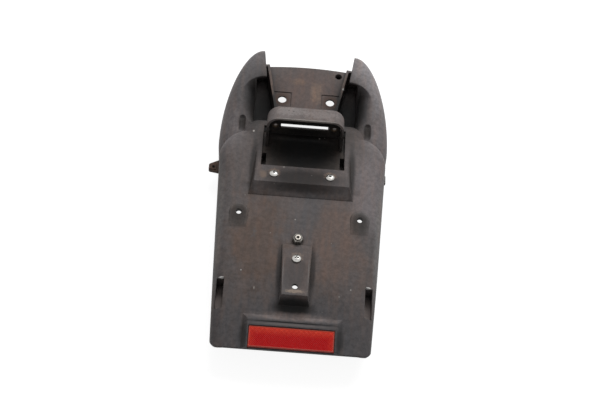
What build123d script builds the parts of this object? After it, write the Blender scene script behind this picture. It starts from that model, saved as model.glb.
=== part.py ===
from build123d import *
import os
from math import atan2, cos, degrees, radians, sin, tan

# Motorcycle rear fender: a black moulding that carries a plate lamp hood, a reflector and its fasteners.
# Millimetres. While a piece is drawn, y runs from the flap's edge (0) to the horn ends (length), x is
# across and z is up from the rim that faces the wheel. Each piece is moved to the shared frame at the end.

# Whole moulding
length = 370.0
wall = 3.0
open_below = 5.0

# Panel and flap
flap_width = 166.0
shoulder_width = 186.0
shoulder_y = 225.0
shoulder_radius = 35.0
panel_end = 261.0
side_roll_radius = 15.0
bend_y = 75.0
bend_height = 53.0
bend_radius = 250.0
flap_slope = 14.0
panel_slope = 3.0
flap_corner_radius = 13.0
flap_overrun = 20.0
corner_margin = 0.4
side_trim_y = 62.0
side_trim_rise = 28.0

# Collar of the two bulbs and horns
bulb_set_in = 40.0
bulb_centre_y = 262.0
bulb_reach = 44.0
bulb_tail = 60.0
belt_height = 36.0
horn_height = 84.0
crown_reach = 22.0
hinge_distance = 330.0
plate_arch = 3.5
crown_angles = (0.0, 25.0, 45.0, 62.0, 78.0)

# Bay between the horns
bay_inset = 14.0
bay_half_low = 47.5
bay_half_high = 53.8
lip_inset = 45.0
bay_top = 105.0

# Pockets on both sides of the mounting plate: a steep wall that flares out to a wider mouth
pocket_set_in = 5.5
pocket_length = 63.0
pocket_inner_x = 29.0
pocket_floor = 13.0
pocket_foot_reach = 12.5
pocket_wall_reach = 14.0
pocket_wall_inset = 9.0
pocket_flare = 17.0
pocket_flare_rise = 36.0
pocket_mouth_inset = 30.0
pocket_flare_angles = (0.0, 20.0, 38.0, 54.0, 68.0, 80.0, 90.0)
horn_space_reach = 13.0
horn_space_floor = 10.5
horn_space_length = 58.0

# Mounting plate between its two ribs
plate_top = 33.0
rib_top = 38.0
rib_thickness = 3.0
rib_half_low = 30.5
rib_half_high = 49.0
plate_hole_x = 28.2
plate_hole_inset = 46.0
plate_hole_diameter = 10.0
seat_size = 21.0
seat_depth = 0.8
socket_x = 37.0
socket_inset = 6.5
socket_diameter = 8.0
socket_depth = 8.0

# Neck that carries the panel back between the bulbs, and the opening behind the hood
neck_half = 70.0
neck_start = 225.0
neck_corner_radius = 20.0
neck_roll_radius = 16.0
opening_half = 27.5
opening_start = 255.0
opening_margin = 28.0

# Long dent on each bulb beside the neck
dent_x = 71.0
dent_y = 266.0
dent_radius = 4.0
dent_length = 13.0
dent_lift = 0.8

# Lamp pad
pad_front_y = 182.5
pad_front_rise = 10.0
pad_slope = 9.3
pad_half = 51.5
pad_length = 62.0
pad_depth = 12.0
pad_side_flare = 5.2
pad_front_flare = 9.5

# Plate lamp hood
hood_wall = 2.5
hood_half = 42.5
hood_height = 42.5
hood_mouth = 54.0
hood_rear = 78.5
hood_corner_radius = 14.0
hood_rear_radius = 9.0
hood_slot_half = 27.0
hood_slot_height = 6.0
hood_slot_rise = 8.0
hood_fixing_x = 33.0
hood_fixing_diameter = 4.5
tray_drop = 1.2
tray_start = 24.5
tray_half = 40.6
tray_slot_end = 43.5
tray_rear_half = 45.5
window_clearance = 0.3
flange_start = 3.5
flange_half = 47.5
well_depth = 12.0
well_wall = 1.2

# Screws that hold the hood
hood_screw_x = 30.6
hood_screw_v = 11.7
m5_shank = 5.0
m5_button_diameter = 9.5
m5_button_height = 2.75
m5_button_edge = 1.0
m5_socket_across = 3.0
m5_socket_depth = 1.7
m5_nut_across = 8.0
m5_nut_thickness = 4.0
hood_screw_length = 14.0
shank_clearance = 0.4
thread_clearance = 0.1

# Centre block
block_top_y = 113.0
block_low_y = 50.4
block_foot_y = 44.0
block_half_top = 16.0
block_half_low = 13.3
block_half_foot = 17.0
block_top_rise = 1.0
block_low_rise = 14.0
block_root = 40.0
block_hole_y = 61.0
block_hole_diameter = 6.0
block_screw_y = 95.0
pan_head_diameter = 9.4
pan_head_height = 3.2
pan_head_edge = 1.6
cross_width = 1.3
cross_span = 5.0
cross_depth = 1.6
block_screw_length = 12.0

# Number-plate bosses
boss_x = 65.0
boss_y = 148.0
boss_radius = 10.0
boss_tail = 18.0
boss_tilt = 5.7
boss_chamfer = 1.0
boss_hole_diameter = 6.0

# Stay bolt and nut above the block
stay_y = 119.5
stay_shank = 6.0
stay_nut_across = 10.0
stay_nut_thickness = 5.0
stay_nut_bevel = 9.6
stay_end_stand = 1.2
stay_head_height = 4.0
stay_bore_diameter = 3.2
stay_bore_depth = 2.0

# Reflector and its bezel
bezel_half = 52.8
bezel_reach = 37.4
bezel_rise = 5.0
bezel_slope_run = 7.0
recess_half = 44.3
recess_reach = 23.4
recess_floor = 0.4
reflector_gap = 0.3
reflector_low = 1.2
reflector_lens_thickness = 2.6
reflector_back_thickness = 1.4
reflector_stud = 5.0
reflector_stud_reach = 9.0
reflector_edge_radius = 0.8

# Side slots in the rolled edges
slot_low_y = 39.0
slot_high_y = 70.5
slot_inner_x = 73.5
slot_outer_x = 81.3
slot_floor = 31.0
socket_wall = 2.0

# Left ear with its clip nut, and the stub on the right
ear_low_y = 221.0
ear_high_y = 239.0
ear_tip_low_y = 223.0
ear_tip_width = 9.0
ear_reach = 11.3
ear_z = 18.0
ear_thickness = 4.0
ear_hole_diameter = 4.6
ear_hole_inset = 4.6
stub_reach = 3.0
stub_width = 10.0
clip_sheet = 0.8
clip_width = 6.5
clip_leg = 7.5
clip_hole_diameter = 3.6
clip_gap = 0.05

# Places that follow from the sizes above
bulb_centre_x = shoulder_width / 2 - bulb_set_in
bay_start = bulb_centre_y + bay_inset
lip_y = length - lip_inset
pocket_front_y = lip_y - pocket_length
pocket_centre_x = bulb_centre_x - pocket_set_in
plate_hole_y = length - plate_hole_inset
opening_end = plate_hole_y - opening_margin


def skin_height(y):
    """Height of the outer skin on the centre line, without the rounding of the bend."""
    if y < bend_y:
        return bend_height - (bend_y - y) * tan(radians(flap_slope))
    return bend_height + (y - bend_y) * tan(radians(panel_slope))


def panel_half(y):
    """Half width of the panel at y."""
    return flap_width / 2 + (shoulder_width - flap_width) / 2 * y / shoulder_y


def slope_plane(x, y, z, slope):
    """Plane at a point whose local y runs up a slope of so many degrees and whose normal points out."""
    a = radians(slope)
    return Plane(origin=(x, y, z), x_dir=(1, 0, 0), z_dir=(0, -sin(a), cos(a)))


def both_sides(piece):
    """The piece with its mirror image across the centre plane."""
    return piece + mirror(piece, about=Plane.YZ)


def plan_prism(points, low, high):
    """Straight-sided prism over a plan outline, between two heights."""
    face = make_face(Polyline(*points, close=True))
    return extrude(Pos(0, 0, low) * face, amount=high - low)


def crowned_body(rim, roll, inset):
    """Body under the panel's skin inside a plan outline, with rolled upper edges, shrunk by an inset."""
    base = -open_below if inset else 0.0
    start = -flap_overrun - inset
    end = bay_start + wall
    top = FilletPolyline(
        (start, skin_height(start) - inset),
        (bend_y, bend_height - inset),
        (end, skin_height(end) - inset),
        radius=bend_radius,
    )
    under = Polyline(top @ 1, (end, base), (start, base), top @ 0)
    side = extrude(make_face(Plane.YZ * (top + under)), amount=shoulder_width, both=True)
    plan = make_face(rim + Line(rim @ 1, rim @ 0))
    body = side & extrude(Pos(0, 0, base) * plan, amount=bay_top)
    upper = [edge for edge in body.edges() if edge.bounding_box().min.Z > base + 1]
    rolled = [
        edge
        for edge in upper
        if abs(edge.center().X) > pocket_inner_x or edge.center().Y > panel_end - 2 * wall
    ]
    return fillet(rolled, roll - inset)


def panel_body(inset):
    """Crowned panel with the flap, rolled sides and rounded shoulders, shrunk by an inset."""
    start = -flap_overrun - inset
    end = panel_end - inset
    rim = FilletPolyline(
        (-panel_half(start) + inset, start),
        (-panel_half(panel_end) + inset, end),
        (panel_half(panel_end) - inset, end),
        (panel_half(start) - inset, start),
        radius=shoulder_radius - inset,
    )
    return crowned_body(rim, side_roll_radius, inset)


def neck_body(inset):
    """Neck of the panel between the bulbs, rolled over at its end, shrunk by an inset."""
    half = neck_half - inset
    end = bay_start - inset
    rim = FilletPolyline(
        (-half, neck_start),
        (-half, end),
        (half, end),
        (half, neck_start),
        radius=neck_corner_radius - inset,
    )
    return crowned_body(rim, neck_roll_radius, inset)


def hinged(rise):
    """Plane that hinges up from a far line to reach a height at the horn ends, and its stretch along y."""
    angle = atan2(rise, hinge_distance)
    plane = slope_plane(0, length - hinge_distance, 0, degrees(angle))
    return plane, 1 / cos(angle)


def collar_section(rise, inset):
    """Outline of both bulbs on a hinged plane."""
    plane, stretch = hinged(rise)
    y = (bulb_centre_y - length + hinge_distance) * stretch
    reach = bulb_reach - inset
    up = (length - bulb_centre_y - inset) * stretch
    down = (bulb_tail - inset) * stretch
    x = bulb_centre_x
    lines = [
        EllipticalCenterArc((x, y), reach, up, 0, arc_size=90),
        ThreePointArc((x, y + up), (0, y + up + plate_arch), (-x, y + up)),
        EllipticalCenterArc((-x, y), reach, up, 90, arc_size=90),
        EllipticalCenterArc((-x, y), reach, down, 180, arc_size=90),
        Line((-x, y - down), (x, y - down)),
        EllipticalCenterArc((x, y), reach, down, 270, arc_size=90),
    ]
    return plane * make_face(lines)


def collar_body(inset):
    """Pillow-shaped collar of the bulbs and horns, shrunk by an inset."""
    crown_rise = horn_height - belt_height - inset
    crown_run = crown_reach - inset
    sections = [collar_section(0.0, inset), collar_section(belt_height / 2, inset)]
    for angle in crown_angles:
        a = radians(angle)
        sections.append(
            collar_section(belt_height + crown_rise * sin(a), inset + crown_run * (1 - cos(a)))
        )
    body = loft(sections)
    if inset:
        body += extrude(collar_section(0.0, inset), amount=-open_below)
    return body


def dent_body(grow):
    """Right-hand dent: a round-ended trough along the bulb's top."""
    plane, stretch = hinged(horn_height)
    middle = (dent_y - length + hinge_distance) * stretch
    radius = dent_radius + grow
    trough = Pos(dent_x, middle, dent_lift) * Cylinder(radius, dent_length, rotation=(90, 0, 0))
    for end in (-1, 1):
        trough += Pos(dent_x, middle + end * dent_length / 2, dent_lift) * Sphere(radius)
    return plane * trough


pad_front_height = skin_height(pad_front_y) + pad_front_rise
pad_plane = slope_plane(0, pad_front_y, pad_front_height, -pad_slope)


def pad_rectangle(drop, half, front, back):
    """Rectangle parallel to the lamp pad's face, so far below it."""
    level = pad_plane.offset(-drop)
    return level * Pos(0, (front + back) / 2) * Rectangle(2 * half, back - front)


def pad_body(inset):
    """Wedge-shaped lamp pad with sloping sides and front, shrunk by an inset."""
    depth = pad_depth + 2 * inset
    top = pad_rectangle(inset, pad_half - inset, inset, pad_length)
    foot = pad_rectangle(depth, pad_half + pad_side_flare - inset, inset - pad_front_flare, pad_length)
    return loft([foot, top], ruled=True)


block_plane_rise = skin_height(block_low_y) + block_low_rise - skin_height(block_top_y) - block_top_rise
block_slope = -degrees(atan2(block_plane_rise, block_top_y - block_low_y))


def block_face_point(y):
    """Height of the centre block's face at y."""
    return skin_height(block_top_y) + block_top_rise - (block_top_y - y) * tan(radians(block_slope))


def mirrored_face(low, high):
    """Flat face between two points on the right and their mirror images."""
    return make_face(Polyline(low, high, (-high[0], *high[1:]), (-low[0], *low[1:]), close=True))


def block_body(inset):
    """Wedge-shaped centre block, shrunk by an inset."""
    root = block_root - 3 * inset
    drop = inset / cos(radians(block_slope))
    low = (block_half_low - inset, block_low_y + inset, block_face_point(block_low_y + inset) - drop)
    high = (block_half_top - inset, block_top_y - inset, block_face_point(block_top_y - inset) - drop)
    foot_low = (block_half_foot - inset, block_foot_y + inset, root)
    foot_high = (block_half_foot - inset, block_top_y - inset, root)
    return loft([mirrored_face(foot_low, foot_high), mirrored_face(low, high)], ruled=True)


def rib_half(y):
    """Half width to the ribs' outer faces at y."""
    return rib_half_low + (rib_half_high - rib_half_low) * (y - bay_start) / (length - bay_start)


def plate_prism(inset, start, low, high):
    """Tapered prism between the plate's ribs."""
    end = length + open_below
    points = [
        (-rib_half(start) + inset, start),
        (rib_half(start) - inset, start),
        (rib_half(end) - inset, end),
        (-rib_half(end) + inset, end),
    ]
    return plan_prism(points, low, high)


def bay_prism(grow, low):
    """Open bay between the horn ends."""
    end = length + open_below
    slant = (bay_half_high - bay_half_low) / (length - lip_y)
    half_end = bay_half_high + slant * open_below + grow
    start = bay_start - grow
    points = [
        (-bay_half_low - grow, start),
        (bay_half_low + grow, start),
        (bay_half_low + grow, lip_y),
        (half_end, end),
        (-half_end, end),
        (-bay_half_low - grow, lip_y),
    ]
    return plan_prism(points, low, bay_top)


def pocket_section(rise, reach, lip_distance, grow):
    """Outline of the right-hand pocket on a hinged plane, widest at a distance from the horns' lip."""
    plane, stretch = hinged(rise)
    x = pocket_centre_x
    wide_y = lip_y - lip_distance
    y = (wide_y - length + hinge_distance) * stretch
    up = (lip_distance + grow) * stretch
    down = (wide_y - pocket_front_y + grow) * stretch
    inner = pocket_inner_x - grow
    lines = [
        EllipticalCenterArc((x, y), reach + grow, down, 270, arc_size=90),
        EllipticalCenterArc((x, y), reach + grow, up, 0, arc_size=90),
        Polyline((x, y + up), (inner, y + up), (inner, y - down), (x, y - down)),
    ]
    return plane * make_face(lines)


def pocket_body(grow):
    """Right-hand pocket with a steep wall that flares out to the bulb's ridge."""
    sections = [pocket_section(pocket_floor - grow, pocket_foot_reach, pocket_wall_inset, grow)]
    for angle in pocket_flare_angles:
        a = radians(angle)
        out = 1 - cos(a)
        rise = horn_height - pocket_flare_rise * (1 - sin(a)) - grow
        lip_distance = pocket_wall_inset + (pocket_mouth_inset - pocket_wall_inset) * out
        sections.append(pocket_section(rise, pocket_wall_reach + pocket_flare * out, lip_distance, grow))
    return loft(sections, ruled=True)


def horn_space(grow):
    """Block of space under the horn roofs, before it is limited by the skin."""
    outer = pocket_centre_x + horn_space_reach + grow
    start = length - horn_space_length - grow
    points = [(-outer, start), (outer, start), (outer, length), (-outer, length)]
    return plan_prism(points, horn_space_floor - grow, bay_top)


def flap_corner_trim():
    """What is cut away beyond the flap's edge and its rounded corners."""
    high = flap_corner_radius + flap_overrun
    half = panel_half(0) + corner_margin
    edge = FilletPolyline(
        (-half - (panel_half(high) - panel_half(0)), high),
        (-half, 0),
        (half, 0),
        (half + (panel_half(high) - panel_half(0)), high),
        radius=flap_corner_radius,
    )
    far = shoulder_width
    low = -flap_overrun - wall - 1
    around = Polyline(edge @ 1, (far, high), (far, low), (-far, low), (-far, high), edge @ 0)
    face = make_face(edge + around)
    return extrude(Pos(0, 0, -1) * face, amount=bay_top)


def side_trim():
    """What is cut away below the side walls where they run out towards the flap's edge."""
    steep = side_trim_rise / side_trim_y
    outline = Polyline(
        (side_trim_y, 0),
        (-flap_overrun, steep * (side_trim_y + flap_overrun)),
        (-flap_overrun, -1),
        (side_trim_y, -1),
        close=True,
    )
    return extrude(make_face(Plane.YZ * outline), amount=shoulder_width, both=True)


flap_plane = slope_plane(0, 0, skin_height(0), flap_slope)


def flap_rectangle(rise, half, reach):
    """Rectangle so high above the flap's face that runs out past the flap's edge."""
    low = -flap_overrun
    return flap_plane.offset(rise) * Pos(0, (low + reach) / 2) * Rectangle(2 * half, reach - low)


def bezel_body():
    """Raised frame round the reflector with sloping sides, running out over the flap's edge."""
    foot = flap_rectangle(-wall / 2, bezel_half, bezel_reach)
    top = flap_rectangle(bezel_rise, bezel_half - bezel_slope_run, bezel_reach - bezel_slope_run)
    return loft([foot, top], ruled=True)


def recess_cut():
    """Recess in the bezel that takes the reflector, open at the flap's edge."""
    return extrude(flap_rectangle(recess_floor, recess_half, recess_reach), amount=2 * bezel_rise)


boss_plane_y = boss_y - boss_tail


def boss_plane(side):
    """Face of one number-plate boss, with its origin at the foot of the tongue."""
    return slope_plane(side * boss_x, boss_plane_y, skin_height(boss_plane_y), panel_slope + boss_tilt)


def boss_body(side):
    """Tongue-shaped boss with a round top that sinks into the panel at its foot."""
    outline = [
        Line((-boss_radius, 0), (boss_radius, 0)),
        Line((boss_radius, 0), (boss_radius, boss_tail)),
        ThreePointArc((boss_radius, boss_tail), (0, boss_tail + boss_radius), (-boss_radius, boss_tail)),
        Line((-boss_radius, boss_tail), (-boss_radius, 0)),
    ]
    tongue = extrude(make_face(outline), amount=-2 * wall)
    rim = tongue.faces().sort_by(Axis.Z)[-1].edges()
    tongue = chamfer(rim, boss_chamfer)
    return boss_plane(side) * tongue


def drill(plane, x, v, diameter, depth):
    """Round hole through the skin along a plane's normal."""
    return plane * Pos(x, v, 0) * Cylinder(diameter / 2, 2 * depth)


stay_plane = slope_plane(0, stay_y, skin_height(stay_y), panel_slope)
block_screw_plane = slope_plane(0, block_screw_y, block_face_point(block_screw_y), block_slope)
block_hole_plane = slope_plane(0, block_hole_y, block_face_point(block_hole_y), block_slope)
reflector_stud_v = recess_reach / 2


def side_slot(grow, high):
    """Right-hand slot in the rolled edge, grown on its sides and floor, up to a height."""
    low = slot_floor - grow
    size = (slot_outer_x - slot_inner_x + 2 * grow, slot_high_y - slot_low_y + 2 * grow, high - low)
    centre = ((slot_outer_x + slot_inner_x) / 2, (slot_high_y + slot_low_y) / 2, (low + high) / 2)
    return Pos(*centre) * Box(*size)


ear_middle_y = ear_tip_low_y + ear_tip_width / 2
ear_tip_x = -panel_half(ear_middle_y) - ear_reach
ear_hole_x = ear_tip_x + ear_hole_inset


def ear_body():
    """Left ear on the side wall, with the hole for its clip nut."""
    root_x = -panel_half(ear_low_y) + wall / 2
    points = [
        (root_x, ear_low_y),
        (ear_tip_x, ear_tip_low_y),
        (ear_tip_x, ear_tip_low_y + ear_tip_width),
        (root_x, ear_high_y),
    ]
    ear = plan_prism(points, ear_z, ear_z + ear_thickness)
    return ear - drill(Plane.XY, ear_hole_x, ear_middle_y, ear_hole_diameter, bay_top)


def stub_body():
    """Short stub on the right side wall."""
    tip = panel_half(ear_middle_y) + stub_reach
    root = panel_half(ear_low_y) - wall / 2
    centre = Pos((root + tip) / 2, ear_middle_y, ear_z + ear_thickness / 2)
    return centre * Box(tip - root, stub_width, ear_thickness)


def window_cut():
    """Window in the pad through which the hood's tray comes up."""
    half = tray_rear_half + window_clearance
    front = tray_start - window_clearance
    back = hood_rear + window_clearance
    face = Pos(0, (front + back) / 2) * Rectangle(2 * half, back - front)
    return extrude(pad_plane.offset(-pad_depth) * face, amount=3 * pad_depth)


def rear_opening():
    """Opening through the moulding behind the hood."""
    outline = Pos(0, (opening_start + opening_end) / 2, -open_below) * Rectangle(
        2 * opening_half, opening_end - opening_start
    )
    return extrude(outline, amount=bay_top)


def blind_socket(grow):
    """Round blind socket that hangs from its plane, grown on its side and floor."""
    depth = socket_depth + grow
    return Cylinder(socket_diameter / 2 + grow, depth, align=(Align.CENTER, Align.CENTER, Align.MAX))


def fender_shell():
    """The one-piece moulding."""
    panel = panel_body(0.0)
    neck = neck_body(0.0)
    collar_inside = collar_body(wall)
    island = plate_prism(0.0, bay_start - wall, -1.0, rib_top)
    island_inside = plate_prism(wall, bay_start - wall, -2 * open_below, plate_top - wall)

    shell = panel + neck + collar_body(0.0) + pad_body(0.0) + block_body(0.0)
    shell -= bay_prism(0.0, rib_top)
    shell -= plate_prism(rib_thickness, bay_start, plate_top, rib_top + 1)
    solid_ground = island + panel + neck
    shell -= both_sides(pocket_body(0.0) - solid_ground)
    shell -= (collar_inside & horn_space(0.0)) - solid_ground
    shell -= both_sides(dent_body(0.0))

    shell -= panel_body(wall) + neck_body(wall) + pad_body(wall) + block_body(wall)
    bulb_hollow = collar_inside - bay_prism(wall, plate_top - wall)
    bulb_hollow -= both_sides(pocket_body(wall) - island_inside)
    bulb_hollow -= horn_space(wall) - island_inside
    bulb_hollow -= both_sides(dent_body(wall))
    shell -= bulb_hollow

    shell += bezel_body() + boss_body(1) + boss_body(-1)
    shell += both_sides(side_slot(socket_wall, bay_top)) & panel
    shell -= flap_corner_trim() + side_trim()
    shell -= recess_cut()
    shell -= window_cut() + rear_opening()
    shell -= both_sides(side_slot(0.0, bay_top))
    shell += ear_body() + stub_body()

    for side in (-1, 1):
        shell -= drill(boss_plane(side), 0, boss_tail, boss_hole_diameter, 4 * wall)
        shell -= drill(pad_plane, side * hood_screw_x, hood_screw_v, m5_shank + shank_clearance, 3 * wall)
        seat_centre = Pos(side * plate_hole_x, plate_hole_y, plate_top)
        shell -= seat_centre * Cylinder(plate_hole_diameter / 2, 4 * wall)
        shell -= seat_centre * Box(seat_size, seat_size, 2 * seat_depth)
    shell -= drill(stay_plane, 0, 0, stay_shank + shank_clearance, 2 * wall)
    shell -= drill(block_screw_plane, 0, 0, m5_shank + shank_clearance, 3 * wall)
    shell -= drill(block_hole_plane, 0, 0, block_hole_diameter, 3 * wall)
    shell -= drill(flap_plane, 0, reflector_stud_v, reflector_stud + shank_clearance, 3 * wall)
    socket = Pos(socket_x, length - socket_inset, plate_top)
    shell += socket * Pos(0, 0, -wall) * blind_socket(socket_wall)
    return shell - socket * blind_socket(0.0)


def hood_profile(inset, low):
    """Front outline of the hood: upright sides with rounded top corners."""
    half = hood_half - inset
    arch = FilletPolyline(
        (-half, low),
        (-half, hood_height - inset),
        (half, hood_height - inset),
        (half, low),
        radius=hood_corner_radius - inset,
    )
    return make_face(arch + Line(arch @ 1, arch @ 0))


def hood_plane(v):
    """Upright plane across the hood that faces its mouth."""
    return Plane(origin=(0, v, 0), x_dir=(1, 0, 0), z_dir=(0, -1, 0))


def hood_slab(half, front, back, top):
    """Flat slab of the hood's sheet, with its top at a level."""
    return Pos(0, (front + back) / 2, top - hood_wall / 2) * Box(2 * half, back - front, hood_wall)


def slot_well(side, grow, top):
    """Well under the slot beside the tray, grown on its sides and floor, up to a level."""
    inner = tray_half - grow
    outer = tray_rear_half + window_clearance + grow
    front = tray_start - window_clearance - grow
    back = tray_slot_end + grow
    low = -well_depth - grow
    centre = Pos(side * (inner + outer) / 2, (front + back) / 2, (low + top) / 2)
    return centre * Box(outer - inner, back - front, top - low)


def plate_lamp_hood():
    """Hood on a tray, with a flange that lies under the pad."""
    floor = -tray_drop - hood_wall
    body = extrude(hood_plane(hood_rear) * hood_profile(0.0, floor), amount=hood_rear - hood_mouth)
    rear_arch = body.faces().sort_by(Axis.Y)[-1].edges().sort_by(Axis.Z)[1:]
    body = fillet(rear_arch, hood_rear_radius)
    back_wall = hood_plane(hood_rear - hood_wall)
    hood = body - extrude(back_wall * hood_profile(hood_wall, -tray_drop), amount=hood_rear)
    hood += hood_slab(tray_half, tray_start, hood_rear, -tray_drop)
    hood += hood_slab(tray_rear_half, tray_slot_end, hood_rear, -tray_drop)
    hood += hood_slab(flange_half, flange_start, hood_rear, -wall)
    slot_middle = hood_slot_rise + hood_slot_height / 2
    hood -= Pos(0, hood_rear, slot_middle) * Box(2 * hood_slot_half, 4 * hood_wall, hood_slot_height)
    hole = m5_shank + shank_clearance
    for side in (-1, 1):
        hood += slot_well(side, well_wall, -wall)
        hood -= slot_well(side, 0.0, hood_wall)
        hood -= drill(Plane.XY, side * hood_screw_x, hood_screw_v, hole, 4 * hood_wall)
        fixing = Cylinder(hood_fixing_diameter / 2, 4 * hood_wall, rotation=(90, 0, 0))
        hood -= Pos(side * hood_fixing_x, hood_rear, slot_middle) * fixing
    return pad_plane * hood


def hexagon(across, thickness):
    """Hexagonal prism standing on its plane."""
    return extrude(RegularPolygon(across / 2, 6, major_radius=False), amount=thickness)


def hex_nut(across, thickness, thread):
    """Hexagon nut standing on its plane."""
    return hexagon(across, thickness) - Cylinder(thread / 2 + thread_clearance, 4 * thickness)


def domed_head(diameter, edge, height):
    """Round screw head standing on its plane, with an upright edge and a domed top."""
    radius = diameter / 2
    foot = Polyline((radius, edge), (radius, 0), (0, 0), (0, height))
    dome = TangentArc((0, height), (radius, edge), tangent=(1, 0))
    return revolve(make_face(Plane.XZ * (foot + dome)), axis=Axis.Z)


def m5_shank_below(length_under_head):
    """Plain shank that hangs from its plane."""
    return Cylinder(m5_shank / 2, length_under_head, align=(Align.CENTER, Align.CENTER, Align.MAX))


def button_screw():
    """Round-headed screw with a hexagon socket, its seat on the plane."""
    head = domed_head(m5_button_diameter, m5_button_edge, m5_button_height)
    head -= Pos(0, 0, m5_button_height - m5_socket_depth) * hexagon(m5_socket_across, m5_button_height)
    return head + m5_shank_below(hood_screw_length)


def block_screw():
    """Pan-headed screw with a cross recess in the centre block."""
    head = domed_head(pan_head_diameter, pan_head_edge, pan_head_height)
    bar = Box(cross_span, cross_width, 2 * cross_depth)
    for angle in (0, 90):
        head -= Pos(0, 0, pan_head_height) * Rot(0, 0, angle) * bar
    return block_screw_plane * (head + m5_shank_below(block_screw_length))


def lamp_hood_screws():
    """Two socket screws through the pad and the hood's flange."""
    screw = button_screw()
    return Compound([pad_plane * Pos(side * hood_screw_x, hood_screw_v, 0) * screw for side in (-1, 1)])


def lamp_hood_nuts():
    """Two nuts under the hood's flange."""
    nut = Rot(180, 0, 0) * hex_nut(m5_nut_across, m5_nut_thickness, m5_shank)
    seat = -wall - hood_wall
    return Compound([pad_plane * Pos(side * hood_screw_x, hood_screw_v, seat) * nut for side in (-1, 1)])


def block_nut():
    """Nut behind the centre block's face."""
    nut = Rot(180, 0, 0) * hex_nut(m5_nut_across, m5_nut_thickness, m5_shank)
    return block_screw_plane * Pos(0, 0, -wall) * nut


def stay_bolt():
    """Bolt from behind whose bored end stands a little out of its nut."""
    end = stay_nut_thickness + stay_end_stand
    shank_length = end + wall
    shank = Pos(0, 0, -wall) * Cylinder(
        stay_shank / 2, shank_length, align=(Align.CENTER, Align.CENTER, Align.MIN)
    )
    shank -= Pos(0, 0, end) * Cylinder(stay_bore_diameter / 2, 2 * stay_bore_depth)
    head = Pos(0, 0, -wall - stay_head_height) * hexagon(stay_nut_across, stay_head_height)
    return stay_plane * (shank + head)


def stay_nut():
    """Nut on the outer face of the panel."""
    nut = hex_nut(stay_nut_across, stay_nut_thickness, stay_shank)
    bevel = Cone(stay_nut_across, stay_nut_bevel / 2, stay_nut_thickness)
    return stay_plane * (nut & Pos(0, 0, stay_nut_thickness / 2) * bevel)


def reflector_outline():
    """Reflector's rectangle in the flap's frame."""
    half = recess_half - reflector_gap
    reach = recess_reach - reflector_gap
    return Pos(0, (reach + reflector_low) / 2) * Rectangle(2 * half, reach - reflector_low)


def reflector_back():
    """Backing of the reflector with its stud."""
    level = flap_plane.offset(recess_floor)
    plate = extrude(reflector_outline(), amount=reflector_back_thickness)
    stud = Pos(0, reflector_stud_v, 0) * Cylinder(
        reflector_stud / 2, reflector_stud_reach, align=(Align.CENTER, Align.CENTER, Align.MAX)
    )
    return level * (plate + stud)


def reflector_lens():
    """Red lens in front of the backing."""
    level = flap_plane.offset(recess_floor + reflector_back_thickness)
    lens = extrude(reflector_outline(), amount=reflector_lens_thickness)
    lens = fillet(lens.faces().sort_by(Axis.Z)[-1].edges(), reflector_edge_radius)
    return level * lens


def reflector_nut():
    """Nut on the reflector's stud behind the flap."""
    nut = Rot(180, 0, 0) * hex_nut(m5_nut_across, m5_nut_thickness, reflector_stud)
    return flap_plane * Pos(0, reflector_stud_v, -wall) * nut


def side_clip_nut():
    """Sheet clip folded round the left ear."""
    tip = ear_tip_x - clip_gap
    root = tip + clip_leg
    middle = Pos(0, ear_middle_y, ear_z + ear_thickness / 2)
    height = ear_thickness + 2 * clip_gap
    outside = Pos((root + tip - clip_sheet) / 2, 0, 0) * Box(
        clip_leg + clip_sheet, clip_width, height + 2 * clip_sheet
    )
    inside = Pos((root + tip) / 2, 0, 0) * Box(clip_leg, 2 * clip_width, height)
    hole = drill(Plane.XY, ear_hole_x, ear_middle_y, clip_hole_diameter, bay_top)
    return middle * (outside - inside) - hole


to_frame = Pos(0, -plate_hole_y, seat_depth - plate_top)
pieces = {
    "fender_shell": fender_shell,
    "plate_lamp_hood": plate_lamp_hood,
    "lamp_hood_screws": lamp_hood_screws,
    "lamp_hood_nuts": lamp_hood_nuts,
    "block_screw": block_screw,
    "block_nut": block_nut,
    "stay_bolt": stay_bolt,
    "stay_nut": stay_nut,
    "reflector_lens": reflector_lens,
    "reflector_back": reflector_back,
    "reflector_nut": reflector_nut,
    "side_clip_nut": side_clip_nut,
}

os.makedirs("parts", exist_ok=True)
for name, build in pieces.items():
    export_step(to_frame * build(), f"parts/{name}.step")
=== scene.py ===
"""Looks of a worn motorcycle rear fender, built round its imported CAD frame."""
import logging
import math
from dataclasses import dataclass, replace
from enum import Enum
from typing import ClassVar, Iterable, Sequence, Union

import bmesh
import bpy
from mathutils import Matrix, Vector


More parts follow.
